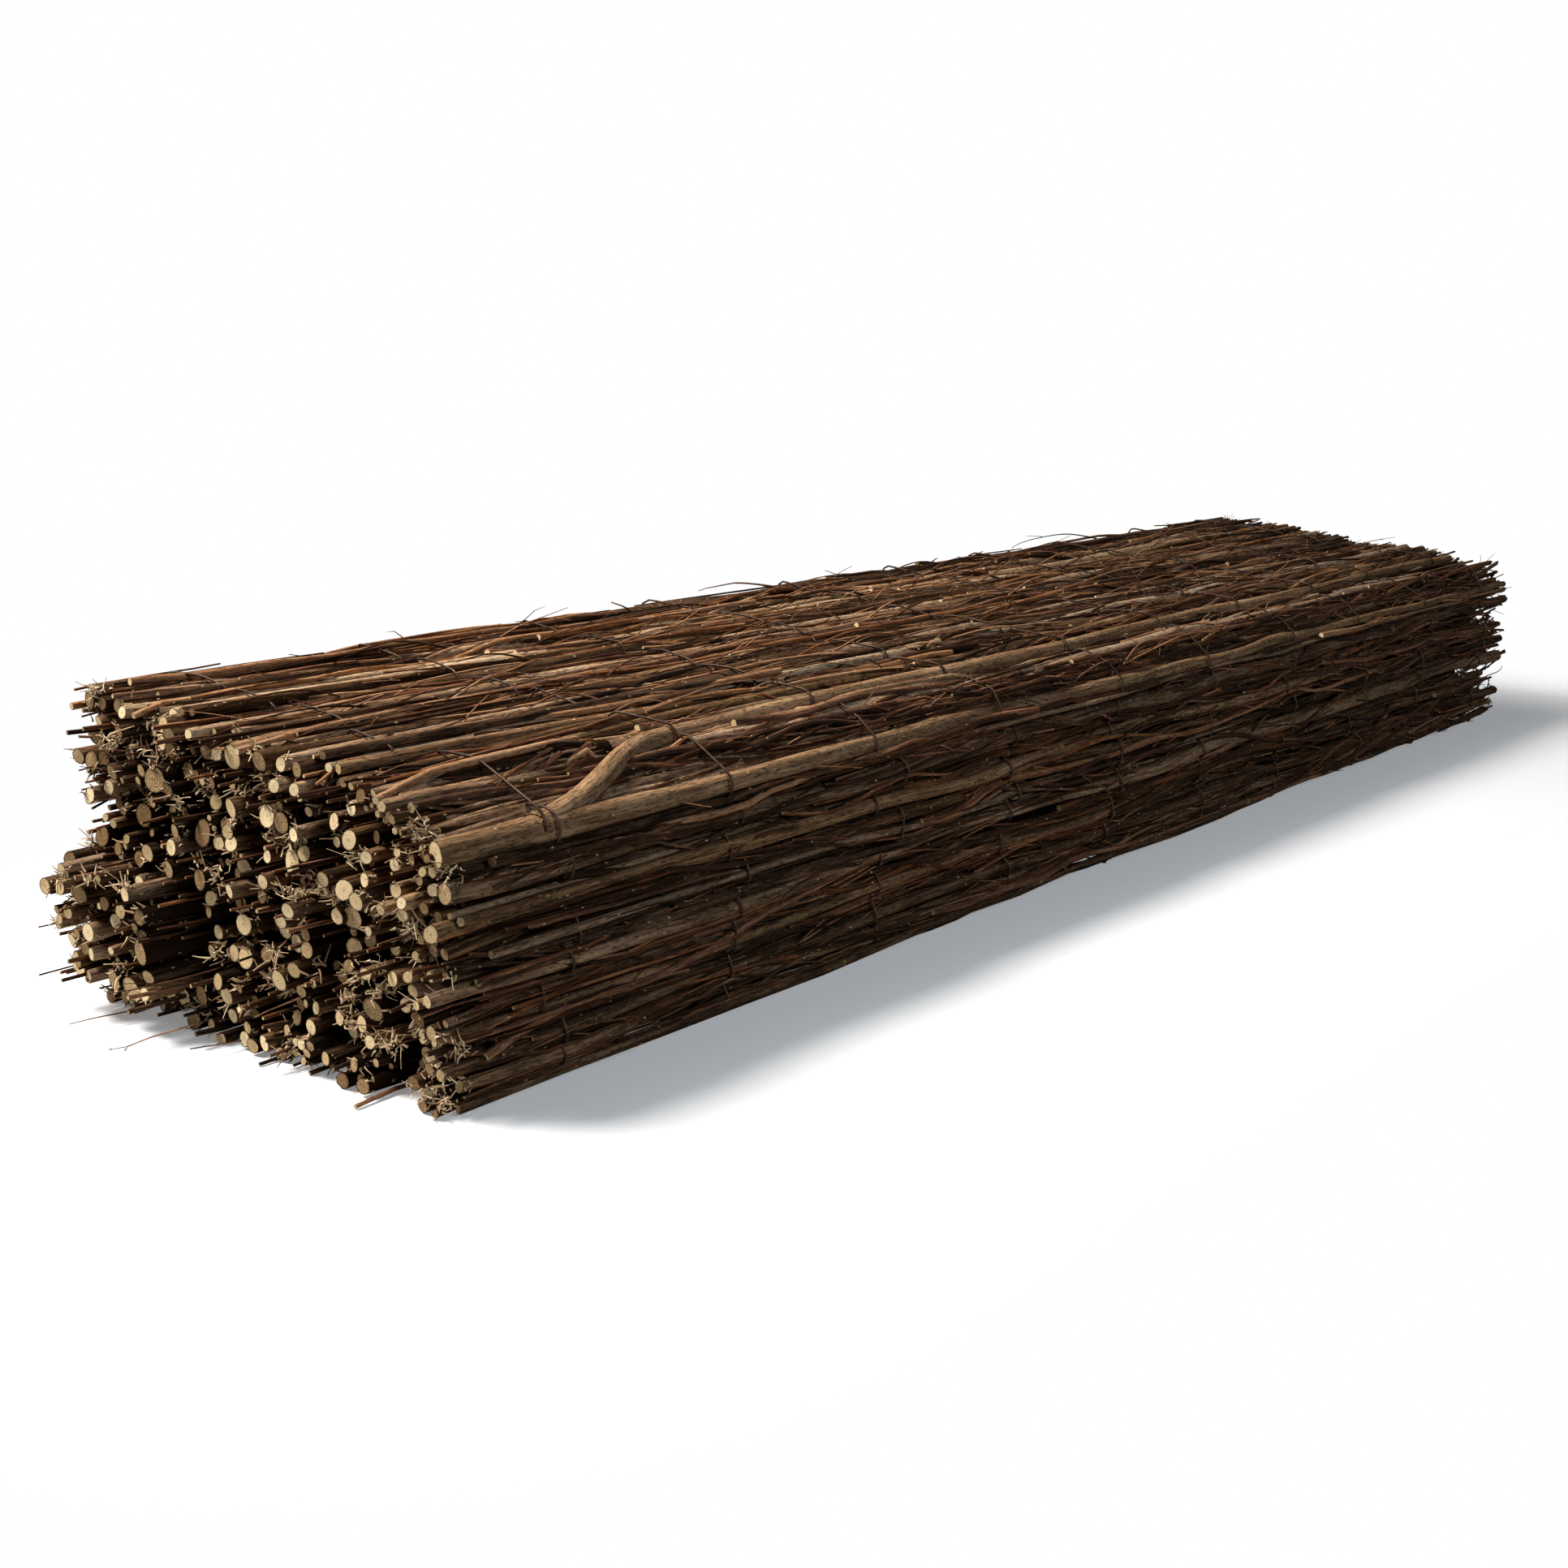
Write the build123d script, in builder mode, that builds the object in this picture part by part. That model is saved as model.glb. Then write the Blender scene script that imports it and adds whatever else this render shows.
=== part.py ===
from build123d import *

import os
import random
from math import hypot

# Heather screen fence, folded flat.
# A mat of heather stems is gathered in bunches, bound by rows of wire and folded in zigzag layers.
# X runs along the stems, Y across the pack from the right-hand folds to the left-hand folds, Z up.
# The origin is on the ground under the middle of the pack. Sizes are in millimetres.

# The mat
stem_length = 1500.0  # height of the fence when it stands
bunches = 6  # bunches across each layer
columns = 3  # columns of stems in a bunch, one thick stem or two thin ones in each
outer_columns = 4  # columns in the tighter bunches at the outside of the pack
thick_counts = [1, 1, 2]  # how many columns of a bunch hold a thick stem, one of these
thick_stem = 14.6  # widest butt of a thick stem
thin_stem = 10.4  # widest butt of a thin stem
stem_spread = 0.22  # share by which butts vary below the widest
slimmest_tip = 0.56  # tip width as a share of the butt
fullest_tip = 0.84
tip_wander = 0.6  # share of the room in its band that a tip may leave its strand by
butts_near = 0.7  # share of the stems with their butt at the near end
thick_sides = 8  # bark ridges of a thick stem
thin_sides = 6  # bark ridges of a thin stem

# The folded pack
right_folds = 4  # folds at the right-hand side, two layers in each
base_width = 330.0  # across the lowest layer
top_width = 352.0  # across the highest layer
shoulder = 47.0  # width of the lowest bunch along the right-hand folds
fold_pitch = 19.5  # layer spacing at the right-hand folds of the lowest layer
shoulder_pitch = 21.6  # layer spacing where that bunch ends
left_pitch = 24.6  # layer spacing at the left-hand folds
slip = 34.0  # how far the slipped bunches stand out at the near end
slight_slip = 0.3  # share of that by which other bunches may have slipped
stagger = 22.0  # how far a stem may stop short of the end of its bunch
slack_layers = [2, 5]  # layers whose right-hand bunches stop short at the far end
slack = 55.0  # how far the outermost of those bunches stops short

# The binding wire
wire = 1.2  # thickness of the strand
wire_rows = 10
row_inset = 75.0  # from the end of the stems to the first and last row
strand_gap = 0.6  # between the two strands that lie between layers
seat_gap = 0.25  # between a stem and the strand that it lies against
twist_depth = 5.5  # how deep the strand dips between bunches
twist_width = 4.0  # width of that dip
fold_corner = 3.0  # corner of the strand where it goes round a fold
inner_turn = 7.0  # from the outside of a fold to the turn of the strand inside it

# The forked branch
trunk = 15.0
fork_limb = 12.6  # upper limb where it leaves the trunk
limb_tip = 8.0
branch_tip = 6.4  # far end of the lower limb
under_limb = 0.38  # share of the layer's height left to the stems that the limb crosses
fork_past_row = 24.0  # from the first wire row to the fork
limb_before_row = 12.0  # from the end of the crossing to the second wire row

layers = 2 * right_folds
top_layer = layers - 1
near_end = -(stem_length + slip) / 2
row_pitch = (stem_length - 2 * row_inset) / (wire_rows - 1)
row_x = [near_end + slip + row_inset + row * row_pitch for row in range(wire_rows)]
shoulder_y = -base_width / 2 + shoulder
bunch_clear = twist_width / 2 + wire + seat_gap
chance = random.Random(11)

os.makedirs("parts", exist_ok=True)


def half_width(layer):
    """Half the width of a layer: the pack flares a little towards its top."""
    return (base_width + (top_width - base_width) * layer / top_layer) / 2


def pitch_line(y):
    """Layer spacing at y, and how fast it changes there."""
    if y < shoulder_y:
        slope = (shoulder_pitch - fold_pitch) / shoulder
    else:
        slope = (left_pitch - shoulder_pitch) / (top_width / 2 - shoulder_y)
    return shoulder_pitch + slope * (y - shoulder_y), slope


def level(number, y):
    """Height of the surface between two layers: level 0 is under the lowest one."""
    return number * pitch_line(y)[0] - strand_gap / 2


def lean(number, y):
    """Length along that surface for each unit across."""
    return hypot(1, number * pitch_line(y)[1])


def under(layer, y):
    """Middle of the strand under a layer."""
    return level(layer, y) + (strand_gap + wire) / 2


def over(layer, y):
    """Middle of the strand over a layer."""
    return level(layer + 1, y) - (strand_gap + wire) / 2


def floor_of(layer, y):
    """Lowest height that the stems of a layer may reach."""
    return level(layer, y) + strand_gap / 2 + wire + seat_gap


def ceiling_of(layer, y):
    """Greatest height that the stems of a layer may reach."""
    return level(layer + 1, y) - strand_gap / 2 - wire - seat_gap


def bunch_edges(layer):
    """Places across a layer where one bunch ends and the next begins."""
    left = half_width(layer)
    step = (left - shoulder_y) / (bunches - 1)
    return [-left] + [shoulder_y + step * edge for edge in range(bunches)]


def carries_fork(layer, bunch):
    """Whether the forked branch takes the first column of a bunch."""
    return layer == top_layer and bunch < 2


def column_edges(layer, bunch):
    """Places across a bunch where one column of stems ends and the next begins."""
    edges = bunch_edges(layer)
    right = edges[bunch] + bunch_clear
    left = edges[bunch + 1] - bunch_clear
    outside = layer in (0, top_layer) or bunch in (0, bunches - 1)
    count = outer_columns if outside and not carries_fork(layer, bunch) else columns
    return [right + (left - right) * column / count for column in range(count + 1)]


def place_stem(layer, right, left, band, widest):
    """Butt and tip of one stem in its cell: across from right to left, up within a band of the layer.

    The band is a pair of shares of the layer's height. At the butt a stem lies against the strand that
    its band touches, which is the one over it in the top layer, and its tip may wander in the band.
    """
    low, high = band

    def height(y, share):
        return floor_of(layer, y) + share * (ceiling_of(layer, y) - floor_of(layer, y))

    def seat(y, radius, share):
        lowest = height(y, low) + radius * lean(layer + low, y)
        highest = height(y, high) - radius * lean(layer + high, y)
        return lowest + share * (highest - lowest)

    middle = (right + left) / 2
    tallest = min(height(y, high) - height(y, low) for y in (right, left)) / lean(layer + high, middle)
    radius = min(widest, left - right, tallest) / 2 * (1 - stem_spread * chance.random())
    tip_radius = radius * chance.uniform(slimmest_tip, fullest_tip)
    butt_y = chance.uniform(right + radius, left - radius)
    tip_y = chance.uniform(right + tip_radius, left - tip_radius)
    upper = low > 0 or (layer == top_layer and high == 1)
    against = 1.0 if upper else 0.0
    wander = abs(against - chance.uniform(0.0, tip_wander))
    butt = (butt_y, seat(butt_y, radius, against), radius)
    tip = (tip_y, seat(tip_y, tip_radius, wander), tip_radius)
    return butt, tip


def bunch_slip(layer, bunch):
    """How far a bunch has slipped towards the near end: most at the lower left-hand corner."""
    if bunch >= bunches - 2 and 0 < layer < layers / 2:
        return slip
    return slip * slight_slip * chance.random() * (layer < top_layer)


def far_stop(layer, bunch):
    """How far a bunch stops short at the far end: less in the second bunch from the right-hand folds."""
    return slack * (1 - bunch / 2) * (layer in slack_layers and bunch < 2)


def stem_corners(end, x, sides, turn=0):
    """Corners of a stem's cross-section at x, with its middle and radius from the given end."""
    y, z, radius = end
    with BuildSketch(Plane.YZ.offset(x)) as profile:
        with Locations((y, z)):
            RegularPolygon(radius, sides, rotation=turn)
    return [tuple(corner) for corner in profile.sketch.vertices()]


def strand_path():
    """Middle line of the strand in one row, once round the folded mat."""
    right = [-half_width(layer) + wire / 2 for layer in range(layers)]
    left = [half_width(layer) - wire / 2 for layer in range(layers)]
    inside_right = [y + inner_turn for y in right]
    inside_left = [y - inner_turn for y in left]
    top_edges = bunch_edges(top_layer)
    path = [(left[top_layer], over(top_layer, left[top_layer]))]

    # Over the top layer, dipping between bunches
    for y in reversed(top_edges[1:-1]):
        dip = over(top_layer, y) - twist_depth
        path.append((y + twist_width / 2, over(top_layer, y + twist_width / 2)))
        path.append((y, dip))
        path.append((y - twist_width / 2, over(top_layer, y - twist_width / 2)))

    # Down the outside of the right-hand folds and the inside of the left-hand folds
    for layer in range(top_layer, 0, -2):
        below = layer - 1
        if layer < top_layer:
            path.append((inside_left[layer], over(layer, inside_left[layer])))
            path.append((shoulder_y, over(layer, shoulder_y)))
        corner = right[layer] + fold_corner
        path.append((corner, over(layer, corner)))
        path.append((right[layer], over(layer, right[layer]) - fold_corner))
        corner = right[below] + fold_corner
        path.append((right[below], under(below, right[below]) + fold_corner))
        path.append((corner, under(below, corner)))
        if below > 0:
            path.append((shoulder_y, under(below, shoulder_y)))
            path.append((inside_left[below], under(below, inside_left[below])))

    # Round the free edge of the lowest layer
    path.append((left[0], under(0, left[0])))
    path.append((left[0], over(0, left[0])))

    # Up the inside of the right-hand folds and the outside of the left-hand folds
    for layer in range(0, top_layer, 2):
        above = layer + 1
        path.append((shoulder_y, over(layer, shoulder_y)))
        path.append((inside_right[layer], over(layer, inside_right[layer])))
        path.append((inside_right[layer], under(above, inside_right[layer])))
        path.append((shoulder_y, under(above, shoulder_y)))
        if above < top_layer:
            corner = left[above] - fold_corner
            path.append((corner, under(above, corner)))
            path.append((left[above], under(above, left[above]) + fold_corner))
            corner = left[above + 1] - fold_corner
            path.append((left[above + 1], over(above + 1, left[above + 1]) - fold_corner))
            path.append((corner, over(above + 1, corner)))

    # Free edge of the top layer
    path.append((left[top_layer], under(top_layer, left[top_layer])))
    return path


# The forked branch in the top layer: trunk and lower limb in the first bunch, upper limb over to the second
trunk_left = column_edges(top_layer, 0)[1]
limb_right = column_edges(top_layer, 1)[0]
branch_start = near_end + slip
branch_end = branch_start + stem_length
fork_x = row_x[0] + fork_past_row
limb_x = row_x[1] - limb_before_row
trunk_y = trunk_left - trunk / 2
limb_y = limb_right + fork_limb / 2


def crossing_x(y):
    """Where the upper limb reaches y on its way to the second bunch."""
    return fork_x + (limb_x - fork_x) * (y - trunk_y) / (limb_y - trunk_y)


# Bunches of stems
for layer in range(layers):
    for bunch in range(bunches):
        start = near_end + slip - bunch_slip(layer, bunch)
        end = start + stem_length - far_stop(layer, bunch)
        edges = column_edges(layer, bunch)
        thick_columns = chance.sample(range(len(edges) - 1), chance.choice(thick_counts))
        stems = []
        for column, (right, left) in enumerate(zip(edges, edges[1:])):
            if carries_fork(layer, bunch) and bunch == 0:
                if column > 0:
                    below = place_stem(layer, right, left, (0.0, under_limb), thin_stem)
                    above = place_stem(layer, right, left, (under_limb, 1.0), thin_stem)
                    stems.append((below, thin_sides, start, end))
                    stems.append((above, thin_sides, limb_x + fork_limb, end))
            elif carries_fork(layer, bunch) and column == 0:
                before_limb = place_stem(layer, right, left, (0.0, 1.0), thin_stem)
                stems.append((before_limb, thin_sides, start, crossing_x(limb_right) - 2 * fork_limb))
            elif column in thick_columns:
                thick = place_stem(layer, right, left, (0.0, 1.0), thick_stem)
                stems.append((thick, thick_sides, start, end))
            else:
                for band in ((0.0, 0.5), (0.5, 1.0)):
                    stems.append((place_stem(layer, right, left, band, thin_stem), thin_sides, start, end))

        with BuildPart() as bound_bunch:
            for number, ((butt, tip), sides, near_x, far_x) in enumerate(stems):
                near_short = stagger * chance.random() ** 2 * (number > 0)
                far_short = stagger * chance.random() ** 2 * (number > 0) * (far_stop(layer, bunch) == 0)
                turn = chance.uniform(0, 360 / sides)
                near, far = (butt, tip) if chance.random() < butts_near else (tip, butt)
                near_corners = stem_corners(near, near_x + near_short, sides, turn)
                far_corners = stem_corners(far, far_x - far_short, sides, turn)
                ConvexPolyhedron(near_corners + far_corners)
        name = f"layer_{layer + 1}_bunch_{bunch + 1}"
        bound_bunch.part.label = name
        export_step(bound_bunch.part, f"parts/{name}.step")


def on_floor(y, width):
    """End of a stem that lies on the strand under the top layer."""
    return y, floor_of(top_layer, y) + width / 2 * lean(top_layer, y), width / 2


def on_stems(y, width):
    """Place where a stem crosses over the stems that lie lower in the top layer."""
    height = floor_of(top_layer, y) + under_limb * (ceiling_of(top_layer, y) - floor_of(top_layer, y))
    return y, height + seat_gap + width / 2 * lean(layers, y), width / 2


def below_strand(y, width):
    """End of a stem that lies against the strand over the top layer."""
    return y, ceiling_of(top_layer, y) - width / 2 * lean(layers, y), width / 2


fork_width = trunk + (branch_tip - trunk) * (fork_x - branch_start) / stem_length
fork_z = on_floor(trunk_y, fork_width)[1]
trunk_ends = [
    stem_corners(on_floor(trunk_y, trunk), branch_start, thick_sides),
    stem_corners(on_floor(trunk_y, branch_tip), branch_end, thick_sides),
]
limb_stations = [
    stem_corners((trunk_y, fork_z, fork_limb / 2), fork_x, thick_sides),
    stem_corners(on_stems(trunk_left, fork_limb), crossing_x(trunk_left), thick_sides),
    stem_corners(on_stems(shoulder_y, fork_limb), crossing_x(shoulder_y), thick_sides),
    stem_corners(below_strand(limb_y, fork_limb), limb_x, thick_sides),
    stem_corners(below_strand(limb_y, limb_tip), branch_end - stagger, thick_sides),
]

with BuildPart() as forked_branch:
    for stations in (trunk_ends, limb_stations):
        for near_corners, far_corners in zip(stations, stations[1:]):
            ConvexPolyhedron(near_corners + far_corners)
forked_branch.part.label = "forked_branch"
export_step(forked_branch.part, "parts/forked_branch.step")

# Binding wire, one closed strand in each row
strand = strand_path()
for row, x in enumerate(row_x):
    with BuildPart() as binding_wire:
        with BuildSketch(Plane.YZ.offset(x - wire / 2)):
            with BuildLine():
                Polyline(*strand, close=True)
            trace(line_width=wire)
        extrude(amount=wire)
    name = f"binding_wire_{row + 1}"
    binding_wire.part.label = name
    export_step(binding_wire.part, f"parts/{name}.step")
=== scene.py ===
import math
from collections.abc import Callable
from dataclasses import dataclass

import bpy
import numpy as np
from mathutils import Euler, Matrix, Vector


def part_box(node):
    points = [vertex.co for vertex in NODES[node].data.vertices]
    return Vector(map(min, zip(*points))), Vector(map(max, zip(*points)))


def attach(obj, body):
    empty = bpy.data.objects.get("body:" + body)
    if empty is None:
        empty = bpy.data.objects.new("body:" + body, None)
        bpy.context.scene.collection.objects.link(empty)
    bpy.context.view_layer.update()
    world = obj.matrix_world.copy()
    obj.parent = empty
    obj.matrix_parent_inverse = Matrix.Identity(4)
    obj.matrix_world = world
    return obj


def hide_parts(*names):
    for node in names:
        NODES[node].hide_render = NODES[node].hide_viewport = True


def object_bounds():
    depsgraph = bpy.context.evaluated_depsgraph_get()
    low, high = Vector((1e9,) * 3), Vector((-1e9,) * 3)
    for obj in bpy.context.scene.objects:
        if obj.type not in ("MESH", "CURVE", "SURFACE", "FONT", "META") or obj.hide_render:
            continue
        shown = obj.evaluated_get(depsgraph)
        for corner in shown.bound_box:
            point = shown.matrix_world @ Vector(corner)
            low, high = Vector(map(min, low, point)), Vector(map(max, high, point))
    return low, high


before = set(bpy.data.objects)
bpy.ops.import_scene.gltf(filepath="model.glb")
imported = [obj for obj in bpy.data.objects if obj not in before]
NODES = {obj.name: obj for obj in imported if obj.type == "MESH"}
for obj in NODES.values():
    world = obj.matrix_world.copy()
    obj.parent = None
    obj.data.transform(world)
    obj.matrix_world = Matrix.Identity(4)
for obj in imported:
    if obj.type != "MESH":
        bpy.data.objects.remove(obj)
CAD_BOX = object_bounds()

bl_info = {
    "name": "Heather screen",
    "version": (1, 0, 0),
    "blender": (4, 5, 0),
    "location": "View3D > Sidebar > Heather",
    "description": "Dresses a folded heather screen with bark, twigs, frayed ends and binding wire",
    "category": "Object",
}

MM = 0.001
TURN = 2 * math.pi
LAYERS = max(int(name.split("_")[1]) for name in NODES if name.startswith("layer_"))
BUNCHES = max(int(name.split("_")[3]) for name in NODES if name.startswith("layer_"))
PLACES = [(layer, bunch) for layer in range(1, LAYERS + 1) for bunch in range(1, BUNCHES + 1)]
WIRE_NODES = sorted((n for n in NODES if n.startswith("binding_wire_")), key=lambda n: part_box(n)[0].x)
WIRE_X = [(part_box(name)[0].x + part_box(name)[1].x) / 2 for name in WIRE_NODES]
WIRE_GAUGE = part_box(WIRE_NODES[0])[1].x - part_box(WIRE_NODES[0])[0].x

# Furthest that brushwood stands out of the solids, along, across and up
OVERHANG = (44 * MM, 18 * MM, 14 * MM)
# The top layer begins this far behind the foremost stems
NEAR_STEP = 34 * MM
# Bunches at the right-hand folds, under the forked branch, where thin wood lies further in at the ends
EDGE_BUNCHES = (1, 2)
FILLER_SET_BACK, TWIG_SET_BACK = 12 * MM, 15 * MM
# Distance between the stations of a stem that shows its length, and of one that doesn't
SHOWN_STEP, HIDDEN_STEP = 29 * MM, 85 * MM
# Corners of a wire loop that shows, and of one that doesn't
SHOWN_CORNERS, HIDDEN_CORNERS = 24, 16
# One long twig in so many is thick, and one in so many lies at the low edge of a side
THICK_EVERY, LOW_EDGE_EVERY = 6, 9

# Finishes, and the place of each in a mesh that has bark and cut ends
BARK, TWIG, FIBRE, CUT, WIRE = "heather bark", "twig bark", "torn fibre", "cut wood", "annealed wire"
BARK_SLOT, CUT_SLOT = 0, 1

# Corners round a stem or twig
STEM_SIDES, BRANCH_SIDES, THIN_SIDES, TWIG_SIDES, FIBRE_SIDES = 12, 14, 6, 4, 3

SEEDS = {"stems": 5, "bunches": 1000, "branch": 8, "bark": 100, "fork": 31, "shoulder": 45, "filler": 41,
         "near_end_twigs": 51, "far_end_twigs": 52, "faces": 61, "strays": 71, "fibres": 81, "wire": 91}


def chance(name, number=0):
    """The seeded chance that shapes one kind of piece."""
    return np.random.default_rng(SEEDS[name] + number)


def between(rng, low, high):
    """A chance length between two sizes in millimetres."""
    return rng.uniform(low, high) * MM


def bunch_box(layer, bunch):
    """Lowest and highest corner of a bunch."""
    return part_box(f"layer_{layer}_bunch_{bunch}")


def is_outside(layer, bunch):
    """Whether a bunch shows its length at the top or at a side of the pack."""
    return layer == LAYERS or bunch in (1, BUNCHES)


# Lines and stems

@dataclass
class Stem:
    """One stem as a bent line with a radius at each station, and three chance values for its bark."""

    layer: int
    bunch: int
    line: np.ndarray
    radius: np.ndarray
    tint: np.ndarray

    def at(self, x):
        """Its place across and up, and its radius, at places along the pack."""
        values = self.line[:, 1], self.line[:, 2], self.radius
        return tuple(np.interp(x, self.line[:, 0], value) for value in values)

    def passes(self, x):
        """Whether it runs past places along the pack."""
        return (x > self.line[0, 0]) & (x < self.line[-1, 0])


def unit(vectors):
    """Vectors made one long."""
    return vectors / np.linalg.norm(vectors, axis=-1, keepdims=True)


def run_along(line):
    """How far along a line each of its stations lies."""
    return np.concatenate([[0], np.cumsum(np.linalg.norm(np.diff(line, axis=0), axis=1))])


def stations_in(length, step):
    """Number of stations in a length: a step apart, and at least six."""
    return max(int(length / step), 6)


def above_floor(line, radius):
    """Lifts a line so that its thickness stays above the floor."""
    line[:, 2] = np.maximum(line[:, 2], radius)
    return line


def waves(run, rng, longest=0.7, shortest=0.11, kink_size=0.3, kink_step=0.07):
    """Sway along a run in metres: waves of several lengths and a few kinks, about one unit high."""
    total = np.zeros_like(run)
    for length in np.exp(rng.uniform(math.log(shortest), math.log(longest), 5)):
        total += (length / longest) ** 0.7 * np.sin(TURN * (run / length + rng.random()))
    kinks = max(int(abs(run[-1] - run[0]) / kink_step), 3)
    kink_places = np.linspace(run[0], run[-1], kinks)
    return 0.6 * total + kink_size * np.interp(run, kink_places, rng.normal(size=kinks))


def bent_line(near, far, stations, sway, rng, held=False):
    """A line from near to far that sways, or only away from its ends where those are held."""
    share = np.linspace(0, 1, stations)
    near, far = np.asarray(near), np.asarray(far)
    line = near + (far - near) * share[:, None]
    run = share * np.linalg.norm(far - near)
    free = np.clip(5 * np.minimum(share, 1 - share), 0, 1) if held else 1.0
    line[:, 1] += sway * free * waves(run, rng)
    line[:, 2] += 0.6 * sway * free * waves(run, rng)
    return line


def knotty(near_radius, far_radius, line, rng, knots=9):
    """Radius along a stem: an even taper with swellings at the knots."""
    share = np.linspace(0, 1, len(line))
    radius = near_radius + (far_radius - near_radius) * share
    swell = 1 + 0.05 * waves(line[:, 0] - line[0, 0], rng, longest=0.3)
    for place in rng.random(knots):
        swell += rng.uniform(0.04, 0.18) * np.exp(-((share - place) * len(line) / 1.1) ** 2)
    return radius * swell


def loose_parts(mesh):
    """Corners of each separate solid in a mesh whose faces don't share corners."""
    points = np.empty(len(mesh.vertices) * 3)
    mesh.vertices.foreach_get("co", points)
    corners, label = np.unique(np.round(points.reshape(-1, 3), 6), axis=0, return_inverse=True)
    label = label.ravel()
    owner = np.arange(len(corners))

    def root(index):
        """The corner that stands for the whole solid of this one."""
        while owner[index] != index:
            owner[index] = owner[owner[index]]
            index = owner[index]
        return index

    for polygon in mesh.polygons:
        first = root(label[polygon.vertices[0]])
        for vertex in polygon.vertices[1:]:
            owner[root(label[vertex])] = first
    roots = np.array([root(index) for index in range(len(corners))])
    return [corners[roots == value] for value in np.unique(roots)]


def ring_of(corners):
    """Middle and radius of a cross-section given by its corners."""
    middle = corners.mean(axis=0)
    return middle, np.linalg.norm(corners - middle, axis=1).max()


def read_stems():
    """Every thick stem of the frame, bent as it grew and a little with its bunch."""
    rng = chance("stems")
    ruler = np.linspace(CAD_BOX[0].x, CAD_BOX[1].x, 90)
    stems = []
    for layer, bunch in PLACES:
        step = SHOWN_STEP if is_outside(layer, bunch) else HIDDEN_STEP
        lean = 2.4 * MM * waves(ruler, chance("bunches", 10 * layer + bunch), longest=0.9, shortest=0.3)
        for corners in loose_parts(NODES[f"layer_{layer}_bunch_{bunch}"].data):
            middle_x = corners[:, 0].mean()
            near, near_radius = ring_of(corners[corners[:, 0] < middle_x])
            far, far_radius = ring_of(corners[corners[:, 0] > middle_x])
            line = bent_line(near, far, stations_in(far[0] - near[0], step), between(rng, 1.4, 4.0), rng)
            line[:, 1] += np.interp(line[:, 0], ruler, lean)
            radius = knotty(near_radius, far_radius, line, rng) * rng.uniform(1.0, 1.12)
            stems.append(Stem(layer, bunch, above_floor(line, radius), radius, rng.random(3)))
    return stems


def smooth_limb(points, radii, stations, spacing=4 * MM, span=27):
    """A smooth line through the cross-sections of a limb, with most stations near the fork."""
    even = np.arange(points[0, 0], points[-1, 0], spacing)
    window = np.hanning(span)
    window /= window.sum()
    columns = []
    for values in (points[:, 1], points[:, 2], radii):
        run = np.pad(np.interp(even, points[:, 0], values), span // 2, mode="edge")
        columns.append(np.convolve(run, window, mode="valid"))
    x = points[0, 0] + (even[-1] - points[0, 0]) * np.linspace(0, 1, stations) ** 1.5
    y, z, radius = (np.interp(x, even, column) for column in columns)
    return np.column_stack([x, y, z]), radius


def swelling(run, middle, width):
    """A smooth hump along a run, one unit high, with its middle and width in millimetres."""
    return np.exp(-((run / MM - middle) / width) ** 2)


def read_branch(stations=90, fork_overlap=48 * MM):
    """Trunk and upper limb of the forked branch, from its full cross-sections."""
    rng = chance("branch")
    corners = loose_parts(NODES["forked_branch"].data)[0]
    places = np.round(corners[:, 0], 5)
    rings = [corners[places == x] for x in np.unique(places)]
    rings = [ring_of(ring) for ring in rings if len(ring) >= 8]
    (near, near_radius), *limb_rings, (far, far_radius) = rings
    trunk_line = bent_line(near, far, stations, 2.6 * MM, rng)
    trunk_radius = knotty(near_radius, far_radius, trunk_line, rng)

    fork_x = limb_rings[0][0][0] - fork_overlap
    fork = [np.interp(fork_x, trunk_line[:, 0], column) for column in trunk_line.T]
    points = np.array([fork] + [middle for middle, _ in limb_rings])
    slimmest = min(radius for _, radius in limb_rings[:-1])
    radii = np.array([slimmest] * len(limb_rings) + [limb_rings[-1][1]])
    limb_line, limb_radius = smooth_limb(points, radii, stations)
    run = limb_line[:, 0] - fork_x
    limb_line[:, 1] += 3.0 * MM * waves(run, rng) * np.clip(run / 0.12 - 1, 0, 1)
    limb_line[:, 2] += 2.5 * MM * swelling(run, 85, 50)
    limb_radius = limb_radius * (1.06 + 0.04 * waves(run, rng)) * (1 + 0.22 * swelling(run, 0, 45))

    past_fork = trunk_line[:, 0] - fork_x
    slimmer = np.interp(past_fork, [20 * MM, 80 * MM], [1.0, 0.84])
    trunk_radius = trunk_radius * (1 + 0.14 * swelling(past_fork, 12, 26)) * slimmer
    return [Stem(LAYERS, 1, trunk_line, trunk_radius, np.array([0.62, 0.35, 0.6])),
            Stem(LAYERS, 2, limb_line, limb_radius, np.array([0.66, 0.35, 0.6]))]


STEMS = read_stems()
BRANCH = read_branch()
SOLID = STEMS + BRANCH


# The stems' surface on each face of the pack, for twigs that lie on it

GRID_STEP = 10 * MM
GRID = np.arange(CAD_BOX[0].x - GRID_STEP, CAD_BOX[1].x + GRID_STEP, GRID_STEP)
GRID_Y, GRID_Z, GRID_R = np.array([stem.at(GRID) for stem in SOLID]).transpose(1, 0, 2)
GRID_ON = np.array([(GRID >= stem.line[0, 0]) & (GRID <= stem.line[-1, 0]) for stem in SOLID])


def grid_column(x):
    """Number of the grid's column nearest to a place along the pack."""
    return int(np.clip(round((x - GRID[0]) / GRID_STEP), 0, len(GRID) - 1))


def end_columns(x, inward):
    """Grid columns along the last stretch of a bunch."""
    return [grid_column(x + inward * reach * MM) for reach in (0, 20, 40)]


@dataclass
class Face:
    """One long face of the pack: its coordinates across and outwards, and where twigs may lie on it."""

    across: np.ndarray
    outward: np.ndarray
    low: float
    high: float
    gaps: list
    to_point: Callable


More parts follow.
